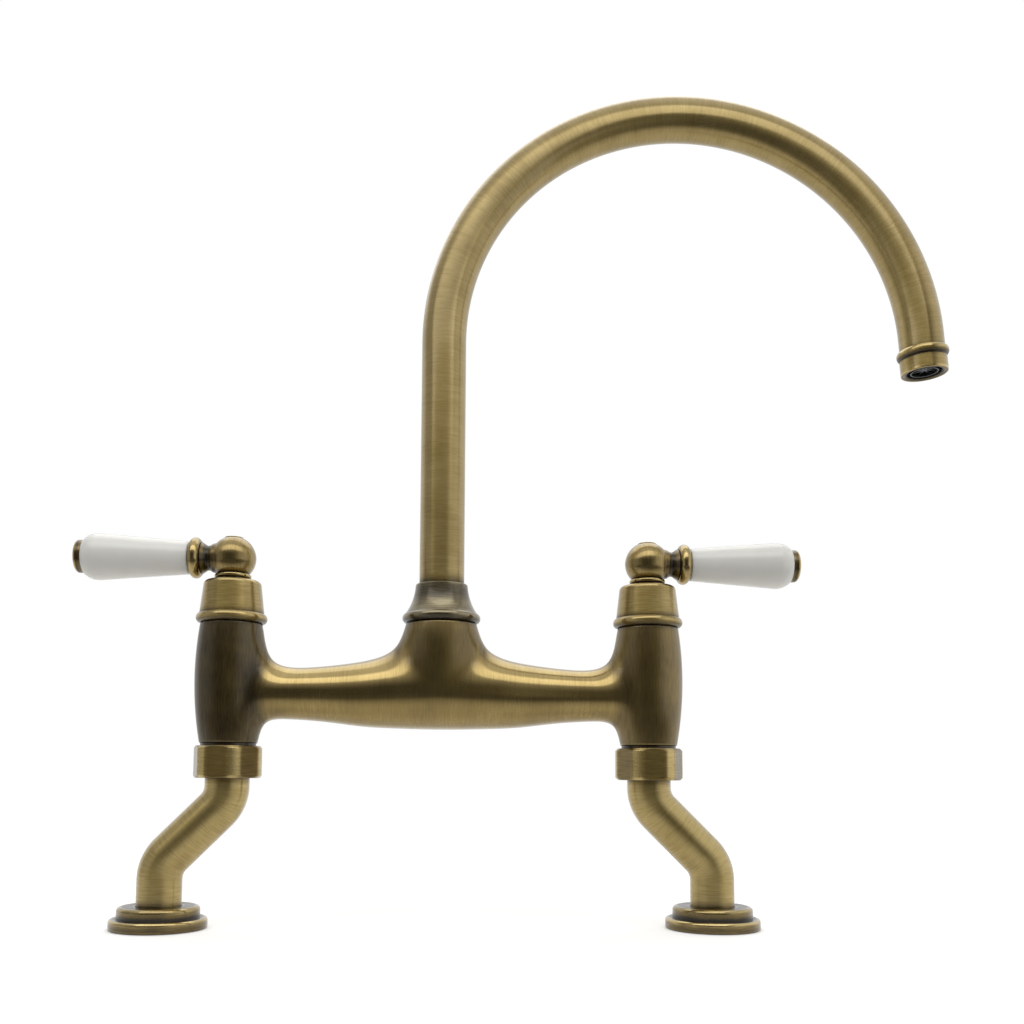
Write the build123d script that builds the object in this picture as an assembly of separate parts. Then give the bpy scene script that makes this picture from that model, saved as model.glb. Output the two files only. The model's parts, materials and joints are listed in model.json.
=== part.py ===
"""Two-hole deck bridge mixer tap with a swan-neck spout and porcelain levers.

Frame: millimetres, +Z up, the deck is the plane z = 0 midway between the two feet.
+X runs along the spout's rest direction and -Y faces the person at the sink.
Each valve's pieces are drawn on the Z axis with the lever and the foot towards +X,
and are then placed on the right valve, or turned half round for the left one.
"""
from build123d import *
from math import cos, radians, sin, tan
import os

# Overall layout
valve_half_spacing = 101.6
crank_offset = 30.4

# Fits between pieces
running_gap = 0.05
thread_gap = 0.04
press_gap = 0.03
slip_gap = 0.3
film_gap = 0.02

# Heights on a valve, from the deck upwards
union_bottom = 70.7
nut_height = 15.3
nut_lip = 3.0
leg_flange_height = 3.5
washer_thickness = 2.0
barrel_bottom = 87.2
seat_floor = 102.0
arm_axis = 111.3
barrel_top = 145.2
bonnet_top = 166.0
lever_axis = 177.2

# Bridge body
barrel_bottom_radius = 13.65
barrel_belly_radius = 16.65
barrel_belly_height = 120.5
barrel_top_radius = 14.75
arm_stations = [0.0, 0.25, 0.40, 0.54, 0.69, 0.94]
arm_radii = [18.3, 17.4, 15.3, 13.7, 12.5, 12.0]
arm_rises = [1.5, 1.1, 0.0, -0.3, 0.0, 0.0]
barrel_fillet = 10.5
boss_fillet = 13.0
boss_top = 146.3
boss_top_radius = 17.0
boss_swell_radius = 19.0
boss_swell_height = 130.0
arm_bore_radius = 6.0
inlet_bore_radius = 8.0
seat_hole_radius = 5.5
seat_web = 3.0
chamber_radius = 10.48

# Union below each barrel
spigot_radius = 13.15
leg_flange_radius = 12.4
nut_flats = 30.5
nut_corner_radius = 16.3
nut_corner_bevel = 1.2
left_nut_turn = -9.0
right_nut_turn = 0.0

# Cranked leg and its rose
leg_radius = 10.5
leg_bore_radius = 6.5
leg_bend_radius = 16.4
leg_bend_angle = 45.0
leg_knee_height = 60.2
socket_radius = 7.475
socket_depth = 15.0
rose_radius = 22.6
rose_step_radius = 19.1
rose_step_height = 5.0
rose_height = 10.5
rose_round = 1.0
rose_seal_inner = 13.5
rose_seal_outer = 19.5
rose_seal_height = 2.5

# Ceramic disc cartridge
cartridge_radius = 9.2
cartridge_thread_length = 14.0
cartridge_flange_radius = 11.9
cartridge_flange_height = 1.5
cartridge_flats = 19.0
cartridge_hex_top = 151.0
guide_radius = 8.0
guide_top = 165.4
seal_height = 2.0
seal_inner = 5.8
seal_outer = 8.6
disc_lip = 2.0
disc_lip_radius = 6.2
disc_radius = 7.5
disc_height = 3.6
disc_port_radius = 2.3
disc_port_offset = 4.6
disc_slot_width = 4.0
disc_slot_depth = 1.6
cartridge_roof = 127.0
window_width = 8.0
window_height = 9.0

# Spindle
spindle_radius = 4.0
spindle_top = 178.5
fork_width = 5.0
fork_height = 4.7
fork_radius = 7.2
thrust_radius = 5.5
thrust_height = 3.5

# Bonnet
bead_radius = 17.0
bead_half = 2.4
bonnet_low_radius = 15.4
bonnet_high_radius = 13.55
bonnet_round = 2.2
bonnet_cavity_radius = 12.4
bonnet_roof = 6.0

# Lever
ball_radius = 10.9
hub_collar_radius = 9.0
hub_collar_low = 166.4
hub_collar_high = 168.9
neck_radius = 5.9
neck_end = 12.4
grip_start = 21.0
lever_bead_radius = 10.0
lever_bead_half = 3.2
grip_start_radius = 8.0
grip_belly = 63.8
grip_belly_radius = 11.35
grip_end = 71.4
grip_end_radius = 8.4
rod_radius = 2.5
rod_grip_gap = 0.5
rod_start = 15.0
rod_end = 73.8
button_radius = 8.0
lever_tip = 75.2
button_round = 1.5
screw_radius = 2.0
screw_tip = 168.5
screw_hole_gap = 0.2
screw_seat = 182.0
screw_head_radius = 3.8
screw_head_height = 3.2
screw_drive = 2.0
cap_radius = 4.5
cap_low = 185.7
cap_top = 188.7
cap_bevel = 0.4

# Spout base
root_radius = 10.0
root_bottom = 123.0
root_bore_floor = 122.0
root_flange_radius = 13.9
root_flange_height = 2.5
root_spigot_length = 12.0
root_way_radius = 6.0
slip_ring_low_height = 1.0
slip_ring_high_height = 1.5
neck_thread_radius = 15.4
neck_thread_top = 150.5
ring_groove_heights = [129.0, 137.0]
ring_half = 1.25
ring_groove_width = 2.9

# Collar over the spout base
collar_bead_radius = 19.1
collar_bead_half = 2.4
collar_low_radius = 17.6
collar_mid_radius = 14.2
collar_top_radius = 12.75
collar_low = 151.0
collar_mid = 157.6
collar_top = 165.3

# Swan neck and nozzle
tube_radius = 11.0
tube_wall = 1.5
tube_thread_radius = 10.5
tube_straight_top = 288.3
tube_arch_radius = 122.0
tube_sweep = 176.0
tube_tail = 8.8
nozzle_bead_radius = 12.7
nozzle_bead_half = 2.4
nozzle_radius = 11.5
nozzle_drop = 10.4
nozzle_round = 1.0
nozzle_lip = 0.8
nozzle_lip_inset = 0.8
tube_seat = 0.6
aerator_washer_height = 1.6
aerator_washer_inner = 8.0
aerator_radius = 10.0
aerator_wall = 1.4
aerator_ring_radius = 6.9
aerator_ring_wall = 0.7
aerator_hub_radius = 1.3
aerator_spoke = 0.9
aerator_spokes = 8
aerator_spoke_recess = 1.2
aerator_plate = 1.5
aerator_hole_radius = 0.7
aerator_inner_holes = 8
aerator_outer_holes = 16

# Heights and radii that follow from the above
nut_top = union_bottom + nut_height
flange_low = union_bottom + nut_lip
flange_high = flange_low + leg_flange_height
spigot_bottom = flange_high + washer_thickness
cartridge_bottom = seat_floor + seal_height
fixed_disc_low = cartridge_bottom + disc_lip
moving_disc_low = fixed_disc_low + disc_height + film_gap
moving_disc_high = moving_disc_low + disc_height
slip_ring_floor = neck_thread_top - slip_ring_high_height - root_flange_height - slip_ring_low_height
root_flange_low = slip_ring_floor + slip_ring_low_height
tube_bottom = root_flange_low + root_flange_height
tube_bore_radius = tube_radius - tube_wall
aerator_bore = aerator_radius - aerator_wall
aerator_ring_bore = aerator_ring_radius - aerator_ring_wall
aerator_inner_row = (aerator_hub_radius + aerator_ring_bore) / 2
aerator_outer_row = (aerator_ring_radius + aerator_bore) / 2


def disc(radius, low, high):
    """Solid cylinder on the Z axis between two heights."""
    return Pos(0, 0, low) * extrude(Circle(radius), high - low)


def ring(inner, outer, low, high):
    """Hollow cylinder on the Z axis between two heights."""
    return disc(outer, low, high) - disc(inner, low, high)


def hexagon(flats, low, high, turn=0.0):
    """Hexagonal prism on the Z axis; one corner points to the angle turn from +X."""
    face = Rot(0, 0, turn) * RegularPolygon(flats / 2, 6, major_radius=False)
    return Pos(0, 0, low) * extrude(face, high - low)


def turned(edges):
    """Solid of revolution about Z from edges that close a profile in the XZ plane."""
    return revolve(make_face(edges), Axis.Z)


def rod_along_x(radius, start, end, height):
    """Solid cylinder along +X at a given height."""
    return Pos(start, 0, height) * Rot(0, 90, 0) * extrude(Circle(radius), end - start)


def swelling(low, belly, top):
    """Turned post whose side is one arc through three (radius, height) points."""
    side = [(radius, 0, height) for radius, height in (low, belly, top)]
    base = (0, 0, low[1])
    head = (0, 0, top[1])
    return turned([Line(base, side[0]), ThreePointArc(*side), Line(side[2], head), Line(head, base)])


def barrel():
    """Bulging valve barrel; its lengthwise seam faces the foot, away from the bridge."""
    belly = (barrel_belly_radius, barrel_belly_height)
    return swelling((barrel_bottom_radius, barrel_bottom), belly, (barrel_top_radius, barrel_top))


def spout_boss():
    """Upright boss at the middle of the bridge; its seam faces the back."""
    swell = (boss_swell_radius, boss_swell_height)
    return Rot(0, 0, 90) * swelling((boss_top_radius, arm_axis), swell, (boss_top_radius, boss_top))


def bridge_arms():
    """Round arm that joins the barrels, thickest at the middle."""
    sections = []
    count = len(arm_radii)
    for index in range(1 - count, count):
        step = abs(index)
        side = 1 if index >= 0 else -1
        along = side * arm_stations[step] * valve_half_spacing
        middle = (along, 0, arm_axis + arm_rises[step])
        sections.append(Plane(middle, x_dir=(0, 1, 0), z_dir=(1, 0, 0)) * Circle(arm_radii[step]))
    return loft(sections)


def bridge_outside():
    """Arms, boss and barrels blended into one casting."""
    arms = bridge_arms()
    boss = spout_boss()
    shape = arms + boss
    shape = fillet(new_edges(arms, boss, combined=shape), boss_fillet)
    for side in (-1, 1):
        plain = shape
        upright = on_valve(side) * barrel()
        shape = plain + upright
        shape = fillet(new_edges(plain, upright, combined=shape), barrel_fillet)
    return shape


def bridge_waterways():
    """Chambers, seats and passages inside the casting."""
    chamber = disc(chamber_radius, seat_floor, barrel_top)
    chamber += disc(seat_hole_radius, seat_floor - seat_web, seat_floor)
    chamber += disc(inlet_bore_radius, spigot_bottom, seat_floor - seat_web)
    ways = rod_along_x(arm_bore_radius, -valve_half_spacing, valve_half_spacing, arm_axis)
    ways += disc(root_way_radius, arm_axis, root_bore_floor)
    ways += disc(root_radius + running_gap, root_bore_floor, slip_ring_floor)
    ways += disc(root_flange_radius + slip_gap, slip_ring_floor, neck_thread_top)
    for side in (-1, 1):
        ways += on_valve(side) * chamber
    return ways


def bridge_body():
    """Hollow casting with union spigots and the threaded neck for the collar."""
    shape = bridge_outside() + disc(neck_thread_radius, boss_top, neck_thread_top)
    for side in (-1, 1):
        shape += on_valve(side) * disc(spigot_radius, spigot_bottom, barrel_bottom)
    return shape - bridge_waterways()


def union_nut(turn):
    """Hexagon nut with turned corners; its lip lifts the leg's flange against the washer."""
    blank = turned_corners(hexagon(nut_flats, union_bottom, nut_top, turn))
    bore = disc(spigot_radius + thread_gap, flange_low, nut_top)
    return blank - bore - disc(leg_radius + slip_gap, union_bottom, flange_low)


def turned_corners(blank):
    """Round a hexagon's corners as a lathe does, with a bevel at each end."""
    short = nut_corner_radius - nut_corner_bevel
    edges = Polyline(
        (0, 0, union_bottom),
        (short, 0, union_bottom),
        (nut_corner_radius, 0, union_bottom + nut_corner_bevel),
        (nut_corner_radius, 0, nut_top - nut_corner_bevel),
        (short, 0, nut_top),
        (0, 0, nut_top),
        close=True,
    )
    return blank & turned(edges)


def union_washer():
    """Flat sealing washer between the spigot and the leg's flange."""
    return ring(inlet_bore_radius, leg_flange_radius, flange_high, spigot_bottom)


def leg_path():
    """Centre line of the cranked leg, from the union down to the deck."""
    knee = (0, 0, leg_knee_height)
    ankle = (crank_offset, 0, leg_knee_height - crank_offset / tan(radians(leg_bend_angle)))
    return FilletPolyline((0, 0, flange_high), knee, ankle, (crank_offset, 0, 0), radius=leg_bend_radius)


def leg():
    """Cranked pipe with a union flange on top and a threaded socket in its foot."""
    path = leg_path()
    start = Plane(path @ 0, z_dir=path % 0)
    shape = sweep(start * Circle(leg_radius), path=path)
    shape += disc(leg_flange_radius, flange_low, flange_high)
    shape -= sweep(start * Circle(leg_bore_radius), path=path)
    return shape - Pos(crank_offset, 0, 0) * disc(socket_radius, 0, socket_depth)


def rose():
    """Stepped cover plate round the leg, hollow below for its seal."""
    lower = fillet(disc(rose_radius, 0, rose_step_height).edges().group_by(Axis.Z)[-1], rose_round)
    upper = disc(rose_step_radius, 0, rose_height)
    upper = fillet(upper.edges().group_by(Axis.Z)[-1], rose_round)
    shape = lower + upper - disc(leg_radius + slip_gap, 0, rose_height)
    return Pos(crank_offset, 0, 0) * (shape - ring(rose_seal_inner, rose_seal_outer, 0, rose_seal_height))


def rose_seal():
    """Rubber ring in the rose's underside, flush with the deck."""
    seal = ring(rose_seal_inner + press_gap, rose_seal_outer - press_gap, 0, rose_seal_height)
    return Pos(crank_offset, 0, 0) * seal


def seat_seal():
    """Rubber ring that seals the cartridge on its seat."""
    return ring(seal_inner, seal_outer, seat_floor, cartridge_bottom)


def cartridge_body():
    """Brass housing of the ceramic discs, screwed into the barrel."""
    thread_low = barrel_top - cartridge_thread_length
    shape = disc(cartridge_radius, cartridge_bottom, thread_low)
    shape += disc(chamber_radius - thread_gap, thread_low, barrel_top)
    shape += disc(cartridge_flange_radius, barrel_top, barrel_top + cartridge_flange_height)
    shape += hexagon(cartridge_flats, barrel_top + cartridge_flange_height, cartridge_hex_top)
    shape += disc(guide_radius, cartridge_hex_top, guide_top)
    shape -= disc(disc_lip_radius, cartridge_bottom, fixed_disc_low)
    shape -= disc(disc_radius + running_gap, fixed_disc_low, cartridge_roof)
    shape -= disc(spindle_radius + running_gap, cartridge_roof, guide_top)
    return shape - cartridge_windows()


def cartridge_windows():
    """Slot across the housing through which the water leaves the discs."""
    middle = moving_disc_high + window_height / 2
    return Pos(0, 0, middle) * Box(2 * chamber_radius, window_width, window_height)


def ported_disc(low, turn):
    """Ceramic disc with two ports, on a line turned from +X."""
    shape = disc(disc_radius, low, low + disc_height)
    for side in (-1, 1):
        port = Pos(side * disc_port_offset, 0, 0) * disc(disc_port_radius, low, low + disc_height)
        shape -= Rot(0, 0, turn) * port
    return shape


def fixed_disc():
    """Lower ceramic disc, its ports across the lever so that the valve rests closed."""
    return ported_disc(fixed_disc_low, 90)


def moving_disc():
    """Upper ceramic disc with the slot that the spindle's fork turns it by."""
    slot = Pos(0, 0, moving_disc_high - disc_slot_depth / 2)
    return ported_disc(moving_disc_low, 0) - slot * Box(disc_slot_width, 2 * disc_radius, disc_slot_depth)


def spindle():
    """Stem from the moving disc up into the lever's ball."""
    fork_top = moving_disc_high + fork_height
    shape = disc(spindle_radius, fork_top, spindle_top)
    shape += disc(thrust_radius, cartridge_roof - slip_gap - thrust_height, cartridge_roof - slip_gap)
    fork = Pos(0, 0, moving_disc_high + fork_height / 2) * Box(fork_width, 2 * fork_radius, fork_height)
    tang_width = disc_slot_width - 2 * press_gap
    tang_height = disc_slot_depth - press_gap
    fork += Pos(0, 0, moving_disc_high - tang_height / 2) * Box(tang_width, 2 * fork_radius, tang_height)
    shape += fork & disc(fork_radius, moving_disc_low, fork_top)
    return shape - disc(screw_radius + thread_gap, screw_tip, spindle_top)


def bonnet():
    """Tapered cover over the cartridge with a round bead at its foot."""
    bead_height = barrel_top + bead_half
    low_circle = Pos(0, 0, bead_height) * Circle(bonnet_low_radius)
    cone = loft([low_circle, Pos(0, 0, bonnet_top) * Circle(bonnet_high_radius)])
    cone = fillet(cone.edges().group_by(Axis.Z)[-1], bonnet_round)
    shape = cone + disc(barrel_top_radius, barrel_top, bead_height)
    shape += Pos(0, 0, bead_height) * Torus(bead_radius - bead_half, bead_half)
    shape -= disc(bonnet_cavity_radius, barrel_top, bonnet_top - bonnet_roof)
    return shape - disc(guide_radius + thread_gap, barrel_top, bonnet_top)


def along_lever(edges):
    """Solid of revolution about the lever's axis from edges drawn as (distance, 0, radius)."""
    return Pos(0, 0, lever_axis) * revolve(make_face(edges), Axis.X)


def lever_neck():
    """Neck that flares from the ball to the round bead the grip seats on."""
    bead_middle = grip_start - lever_bead_half
    flare = lever_bead_radius - lever_bead_half
    edges = Polyline(
        (0, 0, 0),
        (0, 0, neck_radius),
        (neck_end, 0, neck_radius),
        (bead_middle, 0, flare),
        (grip_start, 0, flare),
        (grip_start, 0, 0),
        close=True,
    )
    bead = Pos(bead_middle, 0, lever_axis) * Rot(0, 90, 0) * Torus(flare, lever_bead_half)
    return along_lever(edges) + bead


def lever_hub():
    """Ball, collar and neck of the lever, turned in one piece."""
    shape = Pos(0, 0, lever_axis) * Sphere(ball_radius) + lever_neck()
    shape = shape - disc(ball_radius, lever_axis - ball_radius, hub_collar_low)
    shape += disc(hub_collar_radius, hub_collar_low, hub_collar_high)
    shape -= disc(spindle_radius + press_gap, hub_collar_low, spindle_top + slip_gap)
    shape -= disc(screw_radius + screw_hole_gap, spindle_top, screw_seat)
    shape -= disc(cap_radius, screw_seat, lever_axis + ball_radius)
    return shape - rod_along_x(rod_radius + thread_gap, rod_start, grip_start, lever_axis)


def lever_grip():
    """Porcelain grip that swells towards its rounded end."""
    start = (grip_start, 0, grip_start_radius)
    belly = (grip_belly, 0, grip_belly_radius)
    end = (grip_end, 0, grip_end_radius)
    slope = (grip_belly - grip_start, 0, grip_belly_radius - grip_start_radius)
    edges = [Line((grip_start, 0, 0), start), Line(start, belly), TangentArc(belly, end, tangent=slope)]
    edges += [Line(end, (grip_end, 0, 0)), Line((grip_end, 0, 0), (grip_start, 0, 0))]
    return along_lever(edges) - rod_along_x(rod_radius + rod_grip_gap, grip_start, grip_end, lever_axis)


def lever_rod():
    """Threaded rod that ties the grip between hub and button."""
    return rod_along_x(rod_radius, rod_start, rod_end, lever_axis)


def lever_button():
    """Domed brass button screwed on the rod's end."""
    shape = rod_along_x(button_radius, grip_end, lever_tip, lever_axis)
    shape = fillet(shape.edges().sort_by(Axis.X)[-1], button_round)
    return shape - rod_along_x(rod_radius + thread_gap, grip_end, rod_end, lever_axis)


def lever_screw():
    """Socket screw that holds the lever down on its spindle."""
    head_top = screw_seat + screw_head_height
    shape = disc(screw_radius, screw_tip, screw_seat) + disc(screw_head_radius, screw_seat, head_top)
    return shape - hexagon(2 * screw_drive, screw_seat + screw_drive / 2, head_top)


def lever_cap():
    """Flat plug over the screw in the top of the ball."""
    plug = disc(cap_radius - press_gap, cap_low, cap_top)
    return chamfer(plug.edges().group_by(Axis.Z)[-1], cap_bevel)


def spout_collar():
    """Flared nut that keeps the spout's flange in the boss."""
    bead_height = boss_top + collar_bead_half
    foot = (boss_top_radius, 0, boss_top)
    low = (collar_low_radius, 0, collar_low)
    top = (collar_top_radius, 0, collar_top)
    edges = [Line((0, 0, boss_top), foot), Line(foot, low)]
    edges += [ThreePointArc(low, (collar_mid_radius, 0, collar_mid), top)]
    edges += [Line(top, (0, 0, collar_top)), Line((0, 0, collar_top), (0, 0, boss_top))]
    shape = turned(edges)
    shape += Pos(0, 0, bead_height) * Torus(collar_bead_radius - collar_bead_half, collar_bead_half)
    shape -= disc(neck_thread_radius + thread_gap, boss_top, neck_thread_top)
    return shape - disc(tube_radius + slip_gap, neck_thread_top, collar_top)


def lower_slip_ring():
    """Nylon ring that the spout's flange turns on."""
    return ring(root_radius + slip_gap, root_flange_radius, slip_ring_floor, root_flange_low - film_gap)


def upper_slip_ring():
    """Nylon ring between the spout's flange and the collar."""
    return ring(tube_radius + running_gap, root_flange_radius, tube_bottom + film_gap, neck_thread_top)


def spout_root():
    """Turned base of the spout with a flange and two sealing grooves."""
    shape = disc(root_radius, root_bottom, root_flange_low)
    shape += disc(root_flange_radius, root_flange_low, tube_bottom)
    shape += disc(tube_bore_radius - press_gap, tube_bottom, tube_bottom + root_spigot_length)
    for height in ring_groove_heights:
        low = height - ring_groove_width / 2
        shape -= ring(root_radius - 2 * ring_half, root_radius, low, low + ring_groove_width)
    return shape - disc(root_way_radius, root_bottom, tube_bottom + root_spigot_length)


def spout_o_ring(height):
    """Rubber ring that seals the spout in the boss."""
    return Pos(0, 0, height) * Torus(root_radius - ring_half, ring_half)


def spout_end():
    """Plane at the nozzle's bead: its origin on the tube's axis, its normal along the flow."""
    turn = radians(tube_sweep)
    flow = Vector(sin(turn), 0, cos(turn))
    arch_end = Vector(tube_arch_radius * (1 - cos(turn)), 0, tube_straight_top + tube_arch_radius * sin(turn))
    return Plane(arch_end + flow * tube_tail, x_dir=(cos(turn), 0, -sin(turn)), z_dir=flow)


def spout_path():
    """Centre line of the swan neck: upright, arch, short straight tail."""
    half = radians(tube_sweep / 2)
    crown = (tube_arch_radius * (1 - cos(half)), 0, tube_straight_top + tube_arch_radius * sin(half))
    arch_start = (0, 0, tube_straight_top)
    outlet = spout_end()
    arch_end = outlet.origin - outlet.z_dir * tube_tail
    tube_end = outlet.origin + outlet.z_dir * tube_seat
    upright = Line((0, 0, tube_bottom), arch_start)
    return Wire([upright, ThreePointArc(arch_start, crown, arch_end), Line(arch_end, tube_end)])


def spout_tube():
    """Swan-neck tube with its end turned down for the nozzle's thread."""
    path = spout_path()
    start = Plane((0, 0, tube_bottom))
    shape = sweep(start * Circle(tube_radius), path=path)
    thread_cut = ring(tube_thread_radius, 2 * tube_radius, -nozzle_bead_half, 2 * tube_seat)
    shape -= Location(spout_end()) * thread_cut
    return shape - sweep(start * Circle(tube_bore_radius), path=path)


def nozzle():
    """Aerator housing with a bead, screwed on the tube's end; its axis is drawn along +Z."""
    washer_low = tube_seat + aerator_washer_height
    shape = disc(nozzle_radius, -nozzle_bead_half, nozzle_drop)
    shape = fillet(shape.edges().group_by(Axis.Z)[-1], nozzle_round)
    shape += Torus(nozzle_bead_radius - nozzle_bead_half, nozzle_bead_half)
    shape -= disc(tube_thread_radius + thread_gap, -nozzle_bead_half, washer_low)
    shape -= disc(aerator_radius + press_gap, washer_low, nozzle_drop - nozzle_lip)
    return shape - disc(aerator_radius - nozzle_lip_inset, washer_low, nozzle_drop)


def aerator_washer():
    """Rubber washer between the tube's end and the aerator."""
    return ring(aerator_washer_inner, tube_thread_radius, tube_seat, tube_seat + aerator_washer_height)


def aerator_insert():
    """Moulded aerator: a drilled plate above two rings, with a hub and spokes set back between them."""
    top = tube_seat + aerator_washer_height
    low = nozzle_drop - nozzle_lip
    spoke_low = low - aerator_spoke_recess
    shape = ring(aerator_bore, aerator_radius, top, low)
    shape += drilled_plate(top)
    shape += ring(aerator_ring_bore, aerator_ring_radius, top, low)
    shape += disc(aerator_hub_radius, top, spoke_low)
    depth = spoke_low - top
    spoke = Pos(aerator_radius / 2, 0, top + depth / 2) * Box(aerator_radius, aerator_spoke, depth)
    for index in range(aerator_spokes):
        shape += Rot(0, 0, 360 * index / aerator_spokes) * spoke
    return shape & disc(aerator_radius, top, low)


def drilled_plate(top):
    """Round plate with a row of jet holes on each side of the inner ring."""
    shape = disc(aerator_radius, top, top + aerator_plate)
    for radius, count in ((aerator_inner_row, aerator_inner_holes), (aerator_outer_row, aerator_outer_holes)):
        for index in range(count):
            hole = Pos(radius, 0, 0) * disc(aerator_hole_radius, top, top + aerator_plate)
            shape -= Rot(0, 0, 360 * (index + 0.5) / count) * hole
    return shape


def on_valve(side):
    """Placement on the right (+1) or left (-1) valve; the left one is turned half round."""
    return Pos(side * valve_half_spacing, 0, 0) * Rot(0, 0, 90 - 90 * side)


def valve_pieces():
    """Pieces that both valves have, drawn on the Z axis."""
    return {
        "union_washer": union_washer(),
        "leg": leg(),
        "rose": rose(),
        "rose_seal": rose_seal(),
        "seat_seal": seat_seal(),
        "cartridge_body": cartridge_body(),
        "fixed_disc": fixed_disc(),
        "moving_disc": moving_disc(),
        "spindle": spindle(),
        "bonnet": bonnet(),
        "lever_hub": lever_hub(),
        "lever_grip": lever_grip(),
        "lever_rod": lever_rod(),
        "lever_button": lever_button(),
        "lever_screw": lever_screw(),
        "lever_cap": lever_cap(),
    }


def all_pieces():
    """Every piece of the tap in place, by name."""
    pieces = {"bridge_body": bridge_body(), "spout_collar": spout_collar()}
    pieces["lower_slip_ring"] = lower_slip_ring()
    pieces["upper_slip_ring"] = upper_slip_ring()
    pieces["spout_root"] = spout_root()
    pieces["spout_tube"] = spout_tube()
    for name, height in zip(("spout_lower_o_ring", "spout_upper_o_ring"), ring_groove_heights):
        pieces[name] = spout_o_ring(height)
    outlet = Location(spout_end())
    pieces["nozzle"] = outlet * nozzle()
    pieces["aerator_washer"] = outlet * aerator_washer()
    pieces["aerator_insert"] = outlet * aerator_insert()
    pieces["left_union_nut"] = on_valve(-1) * union_nut(left_nut_turn)
    pieces["right_union_nut"] = on_valve(1) * union_nut(right_nut_turn)
    for name, shape in valve_pieces().items():
        pieces["left_" + name] = on_valve(-1) * shape
        pieces["right_" + name] = on_valve(1) * shape
    return pieces


os.makedirs("parts", exist_ok=True)
for name, shape in all_pieces().items():
    export_step(shape, "parts/" + name + ".step")
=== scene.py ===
# %% [markdown]
# # A bridge mixer tap in brushed antique brass
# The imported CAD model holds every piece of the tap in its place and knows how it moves.
# This lesson dresses it: the pieces that show are drawn again as fine, smooth surfaces, each with a
# finish that follows how the real one was turned, cast, bent or glazed. What hides inside keeps its
# CAD shape and gets a finish of its own.

# %% Load the frame
import json

import bpy
import numpy as np
from mathutils import Matrix, Vector

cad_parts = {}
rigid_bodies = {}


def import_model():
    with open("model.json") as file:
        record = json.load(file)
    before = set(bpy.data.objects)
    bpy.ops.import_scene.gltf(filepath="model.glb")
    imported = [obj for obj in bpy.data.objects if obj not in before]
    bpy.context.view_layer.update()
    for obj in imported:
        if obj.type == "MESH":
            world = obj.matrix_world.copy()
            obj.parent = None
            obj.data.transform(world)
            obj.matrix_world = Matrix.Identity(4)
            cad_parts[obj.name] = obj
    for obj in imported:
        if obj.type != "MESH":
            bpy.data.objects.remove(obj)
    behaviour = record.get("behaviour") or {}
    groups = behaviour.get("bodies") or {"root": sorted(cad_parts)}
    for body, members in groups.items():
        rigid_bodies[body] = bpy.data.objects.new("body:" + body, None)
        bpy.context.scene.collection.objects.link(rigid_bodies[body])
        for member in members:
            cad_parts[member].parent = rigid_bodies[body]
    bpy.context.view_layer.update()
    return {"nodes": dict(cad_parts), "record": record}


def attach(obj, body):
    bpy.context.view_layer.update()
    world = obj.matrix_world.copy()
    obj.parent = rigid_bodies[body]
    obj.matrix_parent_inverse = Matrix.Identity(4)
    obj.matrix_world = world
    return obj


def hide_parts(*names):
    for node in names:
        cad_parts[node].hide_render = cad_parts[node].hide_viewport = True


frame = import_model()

mm = 0.001

# %% [markdown]
# ## Profiles as a turner draws them
# Most of a tap comes off a lathe. The turner's drawing is half an outline: corner points, and the
# radius cut at each corner. A Bevel modifier could round the corners later, but a drawn radius is
# exact and can be different at each corner, so the outline is worked out that way here. Tiny
# radii matter: no real edge is perfectly sharp, and the thin bright line on a rounded edge is what
# makes metal look like metal. Lengths on the drawings are millimetres.

# %% Outlines with rounded corners
arc_error, fewest_chords = 0.004, 3


def unit(vectors):
    """Vectors shortened or stretched to length one."""
    return vectors / np.maximum(np.linalg.norm(vectors, axis=-1, keepdims=True), 1e-12)


def arc_steps(turn, radius):
    """Number of chords that keeps each within arc_error of the true arc."""
    widest = 2 * np.arccos(1 - arc_error / max(radius, 2 * arc_error))
    return max(fewest_chords, int(np.ceil(abs(turn) / widest)))


def round_corner(before, corner, after, radius):
    """Arc that touches both legs of a corner: its middle lies on the line that halves the corner."""
    legs = unit(np.array([before - corner, after - corner]))
    half = 0.5 * np.arccos(np.clip(legs[0] @ legs[1], -1, 1))
    middle = corner + unit(legs[0] + legs[1]) * radius / np.sin(half)
    first, last = corner + legs * radius / np.tan(half) - middle
    turn = np.arctan2(first[0] * last[1] - first[1] * last[0], first @ last)
    angle = np.linspace(0, turn, arc_steps(turn, radius) + 1)
    swing = np.array([[np.cos(angle), -np.sin(angle)], [np.sin(angle), np.cos(angle)]])
    return middle + np.einsum("ijk,j->ki", swing, first)


def arc(middle, radius, first, last):
    """Corner list along a circle's arc, between two angles in degrees from the first axis."""
    angle = np.radians(np.linspace(first, last, arc_steps(np.radians(last - first), radius) + 1))
    across, along = middle
    return [(across + radius * np.cos(a), along + radius * np.sin(a), 0) for a in angle]


def drawn_line(corners, closed=True):
    """Line through corners (across, along, radius), each radius made the arc that touches its two legs."""
    spots = np.array(corners, float)
    runs = []
    for k, radius in enumerate(spots[:, 2]):
        plain = radius == 0 or (not closed and k in (0, len(spots) - 1))
        after = spots[(k + 1) % len(spots), :2]
        corner = spots[k, :2]
        runs.append([corner] if plain else round_corner(spots[k - 1, :2], corner, after, radius))
    return np.concatenate(runs)


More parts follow.
